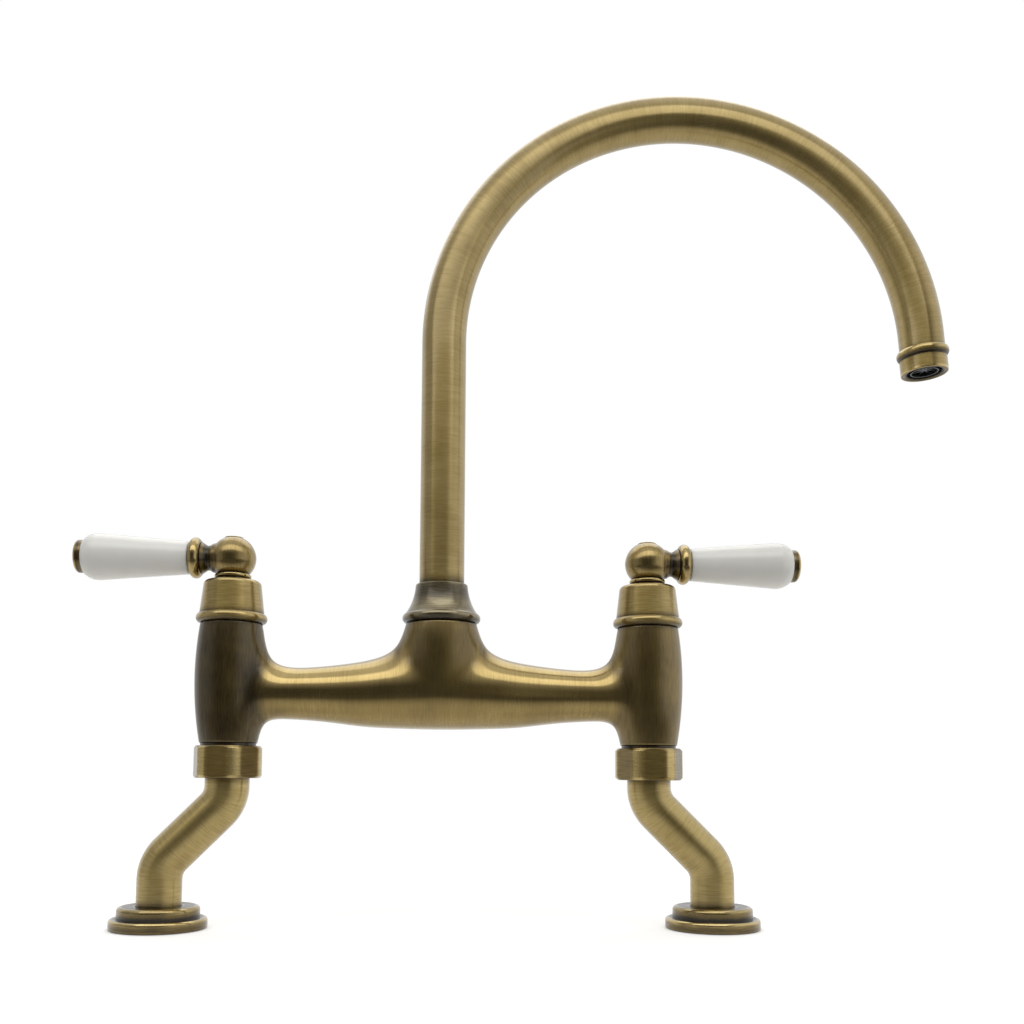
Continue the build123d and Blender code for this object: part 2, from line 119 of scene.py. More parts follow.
def evened(line, longest, closed=True):
    """The same line with its long runs divided, so that no step is longer than asked."""
    ends = np.concatenate([line, line[:1]]) if closed else line
    steps = np.linalg.norm(np.diff(ends, axis=0), axis=1)
    spots = np.concatenate([[0], np.cumsum(steps)])
    counts = np.maximum(1, np.ceil(steps / longest).astype(int))
    runs = [np.linspace(a, b, n, endpoint=False) for a, b, n in zip(spots[:-1], spots[1:], counts)]
    wanted = np.concatenate(runs if closed else [*runs, spots[-1:]])
    return np.stack([np.interp(wanted, spots, ends[:, k]) for k in range(2)], 1), wanted, spots[-1]


print("a quarter round of 1 mm takes", arc_steps(np.pi / 2, 1.0), "steps")

# %% [markdown]
# ## From a grid to a piece
# A skin is a grid of points: rows run along the piece, columns go round it. Each point also keeps
# three notes for its finish. `brushed` is its place on the piece as if it stood straight in a
# lathe, with the axis third, so brush lines can follow a bent pipe. `wear_and_painted_light` is above
# zero on proud edges, where hands rub the patina off, and below zero in hollows, where it stays. On
# some pieces it also carries painted shade and painted highlights, added as a tone. `across` points
# along the surface square to the brush lines, the way in which they spread a reflection.

# %% Skins from grids
columns_round, longest_step, weld_digits = 128, 1.2, 4
girth_angle = 2 * np.pi * np.arange(columns_round) / columns_round
ring = np.stack([np.cos(girth_angle), np.sin(girth_angle)], 1)


def welded(points, faces):
    """Faces on one point wherever grid points coincide; cells that shrink to a line or a point drop out."""
    _, first, group = np.unique(points.round(weld_digits), axis=0, return_index=True, return_inverse=True)
    faces = first[group.ravel()][faces]
    kept = faces != np.roll(faces, -1, 1)
    whole = kept.sum(1) >= 3
    return [face[keep].tolist() for face, keep in zip(faces[whole], kept[whole])]


def grid_skin(points, normals, across, brushed, wear_and_painted_light, rows_close):
    """Skin of a grid (rows, columns, 3): each cell is a four-sided face. The columns close on themselves,
    and so do the rows, or else the first and the last row become faces."""
    rows, columns = points.shape[:2]
    row = np.arange(rows if rows_close else rows - 1)
    i, j = (k.ravel() for k in np.meshgrid(row, np.arange(columns), indexing="ij"))
    up, on = (i + 1) % rows, (j + 1) % columns
    faces = np.stack([i * columns + j, i * columns + on, up * columns + on, up * columns + j], 1)
    faces = welded(points.reshape(-1, 3), faces)
    if not rows_close:
        faces += [list(range(columns))[::-1], list(range((rows - 1) * columns, rows * columns))]
    notes = {"points": points, "normals": normals, "across": across, "brushed": brushed}
    skin = {name: np.broadcast_to(note, points.shape).reshape(-1, 3) for name, note in notes.items()}
    return {**skin, "wear_and_painted_light": np.broadcast_to(wear_and_painted_light, points.shape[:2]).ravel(), "faces": faces}


def placed_skin(place, points, normals, across, brushed, wear_and_painted_light, rows_close=True):
    """Grid skin in its place: turned by the placement's axes, then moved to its origin."""
    axes, origin = place
    return grid_skin(points @ axes.T + origin, normals @ axes.T, across @ axes.T, brushed, wear_and_painted_light, rows_close)


print("columns round a turned piece:", columns_round)

# %% Turned skins
edge_reach = 0.9
slow_turn, turn_span = 0.5, 0.9


def rubbed(line, spots, length, closed):
    """How far the outline turns within edge_reach (mm) of each point: hollows count down, and outward turns
    past slow_turn (radians) count up, to one at turn_span more."""
    ahead = np.roll(line, -1, 0) - line
    heading = np.arctan2(ahead[:, 1], ahead[:, 0])
    turn = (heading - np.roll(heading, 1) + np.pi) % (2 * np.pi) - np.pi
    if not closed:
        turn[[0, -1]] = 0
    apart = np.abs(spots[:, None] - spots[None, :])
    apart = np.minimum(apart, length - apart) if closed else apart
    turned = np.exp(-0.5 * (apart / edge_reach) ** 2) @ turn
    return np.clip(np.where(turned < 0, turned, np.maximum(turned - slow_turn, 0) / turn_span), -1, 1)


def lathe(corners, place, closed=True, tone=None):
    """Turned skin: the outline (radius, height) swung round the axis, so x = r cos a, y = r sin a. A tone is
    a formula of radius and height that is added to wear_and_painted_light, the note that also carries painted
    shade and highlights."""
    line, spots, length = evened(drawn_line(corners, closed), longest_step, closed)
    chord = np.roll(line, -1, 0) - np.roll(line, 1, 0)
    if not closed:
        chord[0], chord[-1] = line[1] - line[0], line[-1] - line[-2]
    chord = unit(chord)
    points = np.concatenate([line[:, None, :1] * ring, np.repeat(line[:, None, 1:], columns_round, 1)], 2)
    rise, lean = (np.repeat(part, columns_round, 1) for part in (chord[:, None, 1:], -chord[:, None, :1]))
    normals = np.concatenate([rise * ring, lean], 2)
    across = np.concatenate([-lean * ring, rise], 2)
    wear_and_painted_light = rubbed(line, spots, length, closed) + (tone(*line.T) if tone else 0.0)
    return placed_skin(place, points, normals, across, points, wear_and_painted_light[:, None], closed)


print("edges count as rubbed past", round(np.degrees(slow_turn)), "degrees")

# %% Pieces from skins
pattern_shift = 37.0


def make_piece(name, skins, finish, body, slot, *nodes):
    """One object from several skins, riding on a body and standing for its CAD nodes. Each piece takes its
    brush pattern from another place, so that no two show the same lines."""
    starts = np.cumsum([0] + [len(skin["points"]) for skin in skins])
    faces = [[k + start for k in face] for skin, start in zip(skins, starts) for face in skin["faces"]]
    gathered = {key: np.concatenate([skin[key] for skin in skins])
                for key in ("points", "normals", "across", "brushed", "wear_and_painted_light")}
    mesh = bpy.data.meshes.new(name)
    mesh.from_pydata((gathered["points"] * mm).tolist(), [], faces)
    mesh.shade_smooth()
    gathered["brushed"] = (gathered["brushed"] + pattern_shift * len(bpy.data.objects)) * mm
    for note in ("across", "brushed"):
        places = mesh.attributes.new(note, "FLOAT_VECTOR", "POINT")
        places.data.foreach_set("vector", gathered[note].astype(np.float32).ravel())
    worn = mesh.attributes.new("wear_and_painted_light", "FLOAT", "POINT")
    worn.data.foreach_set("value", gathered["wear_and_painted_light"].astype(np.float32))
    mesh.normals_split_custom_set_from_vertices(gathered["normals"].tolist())
    mesh.materials.append(finish)
    piece = bpy.data.objects.new(name, mesh)
    bpy.context.scene.collection.objects.link(piece)
    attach(piece, body)
    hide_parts(*nodes)
    print(name, len(mesh.polygons), "faces on", body)


# %% [markdown]
# ## Finishes
# Antique brass is brass that was browned with a patina and then brushed back with an abrasive pad.
# The eye sees three things: fine parallel lines round every turned piece, a brown that stays in the
# hollows, and gold where edges are rubbed through. Here the brown in creases also comes from ambient
# occlusion, which is painted shade. Some pieces also get painted light and shade through their
# wear_and_painted_light note. The lines spread a reflection across themselves and leave it sharp
# along themselves; the shader's anisotropy does that, steered by `across`. A clear lacquer over it
# all adds the soft white shine. Real brush lines are about 0.2 mm wide, too fine for a picture of the
# whole tap, so they are drawn some three times coarser to show.

# %% Colours and nodes


def linear(code):
    """An sRGB hex colour as the linear values that a shader works with."""
    parts = np.array([int(code[k:k + 2], 16) for k in (1, 3, 5)]) / 255
    return (*np.where(parts <= 0.04045, parts / 12.92, ((parts + 0.055) / 1.055) ** 2.4).tolist(), 1.0)


def add(tree, kind, inputs=None, **settings):
    """Adds a node with its settings; an input is a plain value, or the socket that it is linked from."""
    node = tree.nodes.new("ShaderNode" + kind)
    for name, value in settings.items():
        setattr(node, name, value)
    for name, value in (inputs or {}).items():
        if isinstance(value, bpy.types.NodeSocket):
            tree.links.new(value, node.inputs[name])
        else:
            node.inputs[name].default_value = value
    return node


def new_finish(name):
    """An empty material, its node tree and its output node."""
    finish = bpy.data.materials.new(name)
    finish.use_nodes = True
    finish.node_tree.nodes.clear()
    return finish, finish.node_tree, add(finish.node_tree, "OutputMaterial")


print("middle grey in linear light:", round(linear("#808080")[0], 3))

# %% Brushed antique brass
line_pitch, line_length = 0.6 * mm, 8 * mm
streak_pitch, streak_length = 2.6 * mm, 50 * mm
cloud_size = 16 * mm
crevice_reach = 3.5 * mm
streak_share, cloud_share, wear_and_light_share, crevice_patina_and_shade_share = 0.08, 0.35, 0.32, 1.0
line_strength, line_depth, line_spread = 0.25, 0.04 * mm, 0.92
patina_dulling, smoothest = 0.10, 0.18
lacquer_weight, lacquer_roughness = 0.8, 0.16


def brushed_brass(name, gold, metal, patina, browning, roughness, line_share=0.55, polish=0.32):
    """Brass browned, brushed and lacquered: lines, streaks and clouds share one ramp from gold to brown.
    Line share is how plain the lines are, and polish how much smoother rubbed edges are than the rest."""
    finish, tree, output = new_finish(name)
    place = add(tree, "Attribute", attribute_name="brushed").outputs["Vector"]
    wear_and_painted_light = add(tree, "Attribute", attribute_name="wear_and_painted_light").outputs["Fac"]
    way = add(tree, "Attribute", attribute_name="across").outputs["Vector"]
    turned = add(tree, "VectorTransform", {0: way}, vector_type="VECTOR", convert_from="OBJECT",
                 convert_to="WORLD")
    # Ambient occlusion browns the creases: partly the patina that stays there, partly painted shade where
    # less light reaches.
    open_air = add(tree, "AmbientOcclusion", {"Distance": crevice_reach}, samples=4).outputs["AO"]
    noises = []
    for around, pitch, detail in ((line_length, line_pitch, 3.0), (streak_length, streak_pitch, 2.0),
                                  (cloud_size, cloud_size, 3.0)):
        stretched = add(tree, "Mapping", {"Vector": place, "Scale": (1 / around, 1 / around, 1 / pitch)})
        noise = add(tree, "TexNoise", {"Vector": stretched.outputs["Vector"], "Scale": 1.0, "Detail": detail})
        noises.append(noise.outputs["Fac"])
    lines, streaks, clouds = noises
    shares = ((lines, line_share), (streaks, streak_share), (clouds, cloud_share),
              (wear_and_painted_light, -wear_and_light_share), (open_air, -crevice_patina_and_shade_share))
    # A noise is 0.5 on average and open air is 1, so an open surface keeps the browning asked for.
    brown = browning - 0.5 * (line_share + streak_share + cloud_share) + crevice_patina_and_shade_share
    for source, share in shares:
        brown = add(tree, "Math", {0: source, 1: share, 2: brown}, operation="MULTIPLY_ADD").outputs[0]
    ramp = add(tree, "ValToRGB", {"Fac": brown})
    ramp.color_ramp.elements[0].color = linear(gold)
    ramp.color_ramp.elements[1].color = linear(patina)
    ramp.color_ramp.elements.new(0.5).color = linear(metal)
    least_dull = roughness - 0.5 * patina_dulling
    dull = add(tree, "Math", {0: brown, 1: patina_dulling, 2: least_dull}, operation="MULTIPLY_ADD")
    rubbed_off = add(tree, "Math", {0: wear_and_painted_light, 1: -polish, 2: dull.outputs[0]}, operation="MULTIPLY_ADD")
    rough = add(tree, "Math", {0: rubbed_off.outputs[0], 1: smoothest}, operation="MAXIMUM")
    bump = add(tree, "Bump", {"Height": lines, "Strength": line_strength, "Distance": line_depth})
    shader = add(tree, "BsdfPrincipled", {
        "Base Color": ramp.outputs["Color"], "Metallic": 1.0, "Roughness": rough.outputs[0],
        "Anisotropic": line_spread, "Tangent": turned.outputs[0], "Normal": bump.outputs["Normal"],
        "Coat Weight": lacquer_weight, "Coat Roughness": lacquer_roughness})
    tree.links.new(shader.outputs[0], output.inputs["Surface"])
    return finish


turned_brass = brushed_brass("brushed_antique_brass_turned", "#cbb478", "#9a844a", "#4a3d22", 0.41, 0.38)
neck_brass = brushed_brass("brushed_antique_brass_neck", "#c8b27a", "#97824c", "#483c22", 0.40, 0.36,
                           line_share=0.36)
bent_brass = brushed_brass("brushed_antique_brass_pipe", "#d3bd80", "#a28c52", "#463a22", 0.35, 0.31,
                           line_share=0.5)
cast_brass = brushed_brass("brushed_antique_brass_casting", "#c6ae70", "#97814a", "#483c22", 0.50, 0.28,
                           line_share=0.35, polish=0.12)
# The roses get a darker copy of the brass: painted shade, as they stand low by the table.
rose_brass_painted_shade = brushed_brass("brushed_antique_brass_rose_painted_shade", "#d4bd80", "#806d3f", "#352c19", 0.56, 0.28)
grey_brass = brushed_brass("brushed_antique_brass_collar", "#b0a585", "#766b50", "#332c21", 0.52, 0.25)
nut_brass = brushed_brass("brushed_antique_brass_nut", "#d2ba7a", "#8a7642", "#3a301c", 0.56, 0.38,
                          polish=0.06)
hub_brass = brushed_brass("brushed_antique_brass_hub", "#d6c084", "#97814a", "#3d321c", 0.50, 0.27,
                          line_share=0.4)
print("brass finishes:", [m.name for m in bpy.data.materials if m.name.startswith("brushed_antique")])

# %% [markdown]
# ## Porcelain
# The grips are cast in white clay, dipped in clear glaze and fired. Plain glossy white would do from
# afar. But light goes a few millimetres into porcelain and comes out again, so its shaded side is
# soft, and a dipped glaze is never quite flat, so reflections waver a little. The shader's subsurface
# light gives the first and a faint, wide bump the second.

# %% Glazed porcelain
wave_size, wave_strength, wave_depth = 9 * mm, 0.12, 0.1 * mm
glaze_roughness, glaze_index = 0.05, 1.52
inner_light, light_reach, reach_by_colour = 0.5, 4 * mm, (1.0, 0.95, 0.85)


def mottled(tree, size, detail, dark, light):
    """Noise of a real size, and the colour that it picks between two that are nearly alike."""
    place = add(tree, "TexCoord").outputs["Object"]
    noise = add(tree, "TexNoise", {"Vector": place, "Scale": 1 / size, "Detail": detail}).outputs["Fac"]
    tint = add(tree, "ValToRGB", {"Fac": noise})
    tint.color_ramp.elements[0].color = linear(dark)
    tint.color_ramp.elements[1].color = linear(light)
    return noise, tint.outputs["Color"]


def porcelain_glaze():
    """White body under clear glaze: nearly mirror smooth, with wide waves in its tint and surface."""
    finish, tree, output = new_finish("glazed_porcelain")
    waves, tint = mottled(tree, wave_size, 1.0, "#efeee7", "#f5f4ef")
    bump = add(tree, "Bump", {"Height": waves, "Strength": wave_strength, "Distance": wave_depth})
    shader = add(tree, "BsdfPrincipled", {
        "Base Color": tint, "Roughness": glaze_roughness, "IOR": glaze_index,
        "Normal": bump.outputs["Normal"], "Subsurface Weight": inner_light,
        "Subsurface Radius": reach_by_colour, "Subsurface Scale": light_reach})
    tree.links.new(shader.outputs[0], output.inputs["Surface"])
    return finish


porcelain = porcelain_glaze()
print("finish:", porcelain.name)

# %% [markdown]
# ## Where the pieces stand
# The two valves are the same pieces, drawn on the Z axis with the lever towards +X. The right one
# is moved into place and the left one is turned half round, as the pieces of the real tap are.

# %% Placements
valve_half_spacing = 101.6
lever_axis = 177.2
upright = np.array([[0.0, -1.0, 0.0], [1.0, 0.0, 0.0], [0.0, 0.0, 1.0]])
lying = np.array([[0.0, 0.0, 1.0], [1.0, 0.0, 0.0], [0.0, 1.0, 0.0]])
sides = {"left": -1, "right": 1}


def on_valve(side, axes=upright, across=0.0, height=0.0):
    """Placement on a valve: a half turn for the left one, then out to its side of the bridge."""
    facing = np.diag([side, side, 1.0])
    return facing @ axes, np.array([side * (valve_half_spacing + across), 0.0, height])


standing = (upright, np.zeros(3))
print("valve axes at x =", [side * valve_half_spacing for side in sides.values()], "mm")

# %% [markdown]
# ## The swan neck
# A brass tube of 22 mm is filled with sand and bent round a former, then brushed round its girth. A
# Curve object with a round bevel would give the shape too, but a pipe skin worked out along the
# path keeps its own straightened-out coordinates, so the brush lines go round the bend with it.

# %% Pipes along a path
pipe_chamfer = 0.2


def pipe(path, outer, inner, place, tone=None):
    """Hollow pipe: circles square to a path in the XZ plane, up the outside, over the end, down the bore. A
    tone is a formula of the length along the path that gives wear_and_painted_light."""
    last = len(path) - 1
    spots = np.concatenate([[0], np.cumsum(np.linalg.norm(np.diff(path, axis=0), axis=1))])
    heading = unit(np.gradient(path, spots, axis=0))
    order = np.concatenate([np.arange(last + 1), [last, last], np.arange(last + 1)[::-1], [0, 0]])
    radius = np.concatenate([np.full(last + 1, outer), [outer - pipe_chamfer, inner + pipe_chamfer],
                             np.full(last + 1, inner), [inner + pipe_chamfer, outer - pipe_chamfer]])
    facing = np.concatenate([np.ones(last + 1), [0, 0], -np.ones(last + 1), [0, 0]])
    ending = (1 - np.abs(facing)) * np.where(order == last, 1.0, -1.0)
    drawn_in = np.abs(facing) * ((order == 0) * pipe_chamfer - (order == last) * pipe_chamfer)
    forward = np.stack([heading[:, 0], np.zeros(last + 1), heading[:, 1]], 1)[order]
    sideways = np.stack([heading[:, 1], np.zeros(last + 1), -heading[:, 0]], 1)[order]
    middle = np.stack([path[:, 0], np.zeros(last + 1), path[:, 1]], 1)[order] + drawn_in[:, None] * forward
    out = ring[None, :, :1] * sideways[:, None] + ring[None, :, 1:] * np.array([0.0, 1.0, 0.0])
    points = middle[:, None] + radius[:, None, None] * out
    normals = facing[:, None, None] * out + (ending[:, None] * forward)[:, None]
    girth = np.repeat((ring * outer)[None], len(order), 0)
    brushed = np.concatenate([girth, np.broadcast_to(spots[order][:, None, None], (*girth.shape[:2], 1))], 2)
    wear_and_painted_light = tone(spots[order])[:, None] if tone else 0.0
    return placed_skin(place, points, normals, forward[:, None], brushed, wear_and_painted_light)


def bell(distance, reach, power=2):
    """Bell curve: one at no distance, fading past the reach, with a flatter top for a higher power."""
    return np.exp(-((np.abs(distance) / reach) ** power))


print("pipe ends are chamfered by", pipe_chamfer, "mm")

# %% Swan neck
tube_radius, tube_wall = 11.0, 1.5
tube_foot, tube_straight_top = 149.0, 288.3
arch_radius, arch_sweep, tail = 122.0, np.radians(176.0), 8.8
upright_rows, arch_rows = 40, 130
corner_patina_and_shade, corner_place, corner_reach = 0.9, 16.3, 2.5
swing = np.linspace(0, arch_sweep, arch_rows)
arch = np.stack([arch_radius * (1 - np.cos(swing)), tube_straight_top + arch_radius * np.sin(swing)], 1)
flow = np.array([np.sin(arch_sweep), np.cos(arch_sweep)])
outlet = arch[-1] + tail * flow
upright_run = np.stack([np.zeros(upright_rows), np.linspace(tube_foot, tube_straight_top, upright_rows)], 1)
neck_path = np.concatenate([upright_run, arch[1:], [arch[-1] + 0.5 * tail * flow, outlet]])


def neck_tone(along):
    """Darker in the corner where the tube leaves its collar: patina that stays there, and painted shade."""
    return -corner_patina_and_shade * bell(along - corner_place, corner_reach)


neck_skin = pipe(neck_path, tube_radius, tube_radius - tube_wall, (np.eye(3), np.zeros(3)), tone=neck_tone)
make_piece("swan_neck", [neck_skin], neck_brass, "spout", "antique_brass", "spout_tube")
print("outlet at", outlet.round(1), "mm, flow", flow.round(3))

# %% [markdown]
# ## The collar
# A flared nut with a round bead at its foot keeps the spout in the bridge. It is turned, so its
# outline is swung round the axis. A stack of rings and a cone would come close, but the flare is an
# arc, and the reflection that runs down it shows that at once.

# %% Arcs and beads


def angle_on(middle, point):
    """Angle in degrees at which a point lies on a circle's rim."""
    return np.degrees(np.arctan2(point[1] - middle[1], point[0] - middle[0]))


def circle_through(first, second, third):
    """Middle and radius of the circle through three points: it is equally far from all of them."""
    points = np.array([first, second, third], float)
    system = 2 * (points[1:] - points[0])
    squares = (points**2).sum(1)
    middle = np.linalg.solve(system, squares[1:] - squares[0])
    return middle, np.linalg.norm(points[0] - middle)


def arc_through(first, second, third):
    """Corner list of the circle through three points, from the first to the third the short way round."""
    middle, radius = circle_through(first, second, third)
    start, end = (angle_on(middle, point) for point in (first, third))
    end = start + (end - start + 180) % 360 - 180
    return arc(middle, radius, start, end)


def bead_arc(middle, radius, first, last, hollow):
    """Corner list of a bead: an arc whose last point is a hollow of that radius, into the next run."""
    bead = arc(middle, radius, first, last)
    return [*bead[:-1], (*bead[-1][:2], hollow)]


bead_radius = 2.4
bead_painted_shade, bead_fade = 1.3, 1.5


def painted_shade_under_bead(height, middle):
    """Painted shade below the middle of a bead, full at bead_fade below it: the lower half is darkened where
    it faces away from the light.
    """
    # The lower half of a bead is darkened: painted shade.
    return -bead_painted_shade * np.clip((middle - height) / bead_fade, 0, 1)


print("beads have a radius of", bead_radius, "mm")

# %% Flared collar
boss_top, collar_top = 146.3, 165.3
collar_lip, collar_bore = 12.75, 11.3
recess_radius, recess_top = 15.44, 150.5
collar_bead = bead_arc((16.7, 148.7), bead_radius, -90, 66, 0.12)
flare = arc_through((17.6, 150.93), (14.2, 157.6), (collar_lip, 164.9))
collar_line = [(recess_radius, boss_top, 0.2), *collar_bead, *flare[1:],
               (collar_lip, collar_top, 0.35), (collar_bore, collar_top, 0.2),
               (collar_bore, recess_top, 0.2), (recess_radius, recess_top, 0.2)]
flare_foot, flare_even, flare_fade = 151, 156.5, 5
flare_painted_shade, flare_painted_highlight = 0.6, 0.25
collar_bead_middle = 149.0


def collar_tone(radius, height):
    """Painted shade on the upper collar and under the bead, and a painted highlight on the flare just above
    the bead.
    """
    # Lighter low on the flare, darker high on it: painted highlight and painted shade.
    upper = np.clip((flare_even - height) / flare_fade, -flare_painted_shade, flare_painted_highlight) * (height > flare_foot)
    return upper + painted_shade_under_bead(height, collar_bead_middle)


make_piece("flared_collar", [lathe(collar_line, standing, tone=collar_tone)], grey_brass,
           "tap_body", "antique_brass", "spout_collar")

# %% [markdown]
# ## The bridge
# Barrels, arms and boss are one casting, blended by large fillets and dressed on an abrasive belt
# that ran across the bridge, so its lines lie in planes square to X. The shape is written as a
# distance formula: how far a point is outside each plain form, joined by a blended union. On each
# plane square to X, rays from the middle find where that distance is zero. That gives one grid over
# the whole casting, and its rows run the way the belt did.

# %% Plain forms of the casting
barrel_foot, barrel_belly, barrel_top = 87.2, 120.5, 145.2
foot_radius, belly_radius, top_radius = 13.65, 16.65, 14.75
arm_axis, boss_belly = 111.3, 130.0
boss_radius, boss_belly_radius = 17.0, 19.0
arm_least, arm_growth, growth_reach, growth_power = 12.05, 6.25, 48.5, 2.7
hump, hump_reach, hump_power = 1.5, 32.0, 4
barrel_middle, barrel_curve = circle_through((foot_radius, barrel_foot), (belly_radius, barrel_belly),
                                             (top_radius, barrel_top))
boss_middle, boss_curve = circle_through((boss_radius, arm_axis), (boss_belly_radius, boss_belly),
                                         (boss_radius, boss_top))


def barrel_radius(height):
    """Radius of a barrel: one long arc that swells at the belly."""
    return barrel_middle[0] + np.sqrt(barrel_curve**2 - (height - barrel_middle[1]) ** 2)


def arm_radius(along):
    """Radius of the bridge arm: a bell that is thickest under the spout."""
    return arm_least + arm_growth * bell(along, growth_reach, growth_power)


def arm_height(along):
    """Height of the bridge's middle line, a little higher under the spout."""
    return arm_axis + hump * bell(along, hump_reach, hump_power)


print("barrel radius at its belly:", round(float(barrel_radius(barrel_belly)), 2), "mm")

# %% Distance formulas of the casting
barrel_fillet, fillet_rise, boss_fillet, rim_round = 10.5, 3.0, 13.0, 0.5
blend_width, fillet_loss = 1.76, 0.85
arm_end, halfway = 0.94 * valve_half_spacing, 0.5 * valve_half_spacing
boss_ending = 8
least_reach = 1e-6


def blended_union(first, second, radius):
    """Distance to two forms joined by a fillet as deep as a circle of that radius: a cubic that fades to
    nothing where one form is far nearer, so reflections run on into the fillet without a kink."""
    width = blend_width * radius
    share = np.maximum(width - np.abs(first - second), 0) / width
    return np.minimum(first, second) - share**3 * width / 6


def rounded_cut(first, second, radius):
    """Distance to what two forms have in common, its edge rounded."""
    reach = np.hypot(np.maximum(radius + first, 0), np.maximum(radius + second, 0))
    return np.minimum(-radius, np.maximum(first, second)) + reach


def casting(x, y, z):
    """Distance outside the casting, and how deep the point lies in a fillet's hollow."""
    round_arm = np.hypot(y, z - arm_height(x))
    round_barrel = np.hypot(np.abs(x) - valve_half_spacing, y)
    round_boss = np.hypot(x, y)
    arm = np.maximum(round_arm - arm_radius(x), np.abs(x) - arm_end)
    barrel = round_barrel - barrel_radius(np.clip(z, barrel_foot, barrel_top))
    tall = np.clip(z, arm_axis, boss_top)
    boss = round_boss - boss_middle[0] - np.sqrt(boss_curve**2 - (tall - boss_middle[1]) ** 2)
    # Below the arm's axis the boss shrinks away.
    boss = boss + np.maximum(arm_axis - z, 0) ** 2 / boss_ending
    # Where two forms run side by side a fillet has nothing to fill, so its radius fades there.
    aside = y * y / np.maximum(round_arm, least_reach)
    by_boss = boss_fillet * (1 - fillet_loss * aside / np.maximum(round_boss, least_reach))
    above = (z - arm_height(x)) / np.maximum(round_arm, least_reach)
    by_barrel = barrel_fillet + fillet_rise * above
    by_barrel = by_barrel * (1 - fillet_loss * aside / np.maximum(round_barrel, least_reach))
    whole = blended_union(blended_union(arm, boss, by_boss), barrel, by_barrel)
    top = np.where(np.abs(x) > halfway, barrel_top, boss_top)
    whole = rounded_cut(whole, np.maximum(barrel_foot - z, z - top), rim_round)
    return whole, np.minimum(np.minimum(arm, boss), barrel)


print("fillets:", barrel_fillet, "mm at the barrels,", boss_fillet, "mm at the boss")

# %% Planes across the bridge
outside_rows, fillet_rows, arm_rows, boss_rows = 48, 22, 30, 42
first_angle, last_angle = -89.5, 60
fillet_end, boss_start = -72, -32
barrel_angle = np.radians(np.linspace(first_angle, last_angle, outside_rows))
outside_run = -valve_half_spacing + belly_radius * np.sin(barrel_angle)
half_run = np.concatenate([outside_run, np.linspace(outside_run[-1], fillet_end, fillet_rows)[1:],
                           np.linspace(fillet_end, boss_start, arm_rows)[1:],
                           np.linspace(boss_start, 0, boss_rows)[1:]])
stations = np.concatenate([half_run, -half_run[-2::-1]])
print("planes:", len(stations))

# %% Rays on each plane
ray_limit, halvings = 60.0, 34
boss_zone = 40
fine_steps, least_step = 6, 1e-9
belly_run = 13.5
flat_rows, rim_rows, side_rows = 5, 6, 66


def ray_ends(x, height, tilt):
    """Distance at which rays leave the casting, by halving the interval that holds the surface."""
    low, high = np.zeros_like(tilt), np.full_like(tilt, ray_limit)
    for _ in range(halvings):
        middle = 0.5 * (low + high)
        outside = casting(x, -middle * np.sin(tilt), height - middle * np.cos(tilt))[0] > 0
        low, high = np.where(outside, low, middle), np.where(outside, middle, high)
    return high


def rim_tilt(x, height, radius, rim_height):
    """Tilt, from straight down, of the ray that meets a rim of that radius on the plane at x."""
    from_boss = np.where(np.abs(x) < boss_zone, np.abs(x), np.inf)
    across = np.minimum(np.abs(np.abs(x) - valve_half_spacing), from_boss)
    chord = np.sqrt(np.maximum(radius**2 - across**2, 0))
    return np.arctan2(chord, height - rim_height)


def spread_by_length(x, height, first, last, count):
    """Tilts between two tilts on each plane, whose points are equally far apart along the section."""
    share = np.linspace(0, 1, fine_steps * count + 1)
    tilt = first[:, None] + (last - first)[:, None] * share
    reach = ray_ends(np.repeat(x[:, None], len(share), 1), height[:, None], tilt)
    y, z = -reach * np.sin(tilt), height[:, None] - reach * np.cos(tilt)
    steps = np.hypot(np.diff(y, axis=1), np.diff(z, axis=1)) + least_step
    length = np.concatenate([np.zeros((len(x), 1)), np.cumsum(steps, 1)], 1)
    length /= length[:, -1:]
    wanted = np.linspace(0, 1, count + 1)
    return np.array([np.interp(wanted, row, t) for row, t in zip(length, tilt)])


belly_share = np.clip((np.abs(stations) - valve_half_spacing) / belly_run, 0, 1)
ray_height = arm_axis + (barrel_belly - arm_axis) * belly_share**2 * (3 - 2 * belly_share)
in_barrel = np.abs(stations) > halfway
top_height = np.where(in_barrel, barrel_top, boss_top)
upper_rim = np.where(in_barrel, top_radius, boss_radius)
lower_rim = np.where(in_barrel, foot_radius, 0.0)
marks = [np.zeros_like(stations),
         rim_tilt(stations, ray_height, np.maximum(lower_rim - rim_round, 0), barrel_foot),
         rim_tilt(stations, ray_height, lower_rim, barrel_foot + rim_round),
         np.pi - rim_tilt(stations, -ray_height, upper_rim, rim_round - top_height),
         np.pi - rim_tilt(stations, -ray_height, upper_rim - rim_round, -top_height),
         np.full_like(stations, np.pi)]
runs = [spread_by_length(stations, ray_height, a, b, n)
        for a, b, n in zip(marks[:-1], marks[1:], (flat_rows, rim_rows, side_rows, rim_rows, flat_rows))]
front = np.concatenate([runs[0]] + [run[:, 1:] for run in runs[1:]], 1)
tilts = np.concatenate([front, 2 * np.pi - front[:, -2:0:-1]], 1)[:, ::-1]
print("rays on each plane:", tilts.shape[1])

# %% The casting's surface
nudge = 0.02
x = np.repeat(stations[:, None], tilts.shape[1], 1)
reach = ray_ends(x, ray_height[:, None], tilts)
cast_points = np.stack([x, -reach * np.sin(tilts), ray_height[:, None] - reach * np.cos(tilts)], 2)


def off_casting(points):
    """Distance outside the casting at every point of a grid."""
    return casting(*np.moveaxis(points, 2, 0))[0]


slope = [off_casting(cast_points + step) - off_casting(cast_points - step) for step in nudge * np.eye(3)]
cast_normals = unit(np.stack(slope, 2))
print("casting grid:", cast_points.shape[:2])

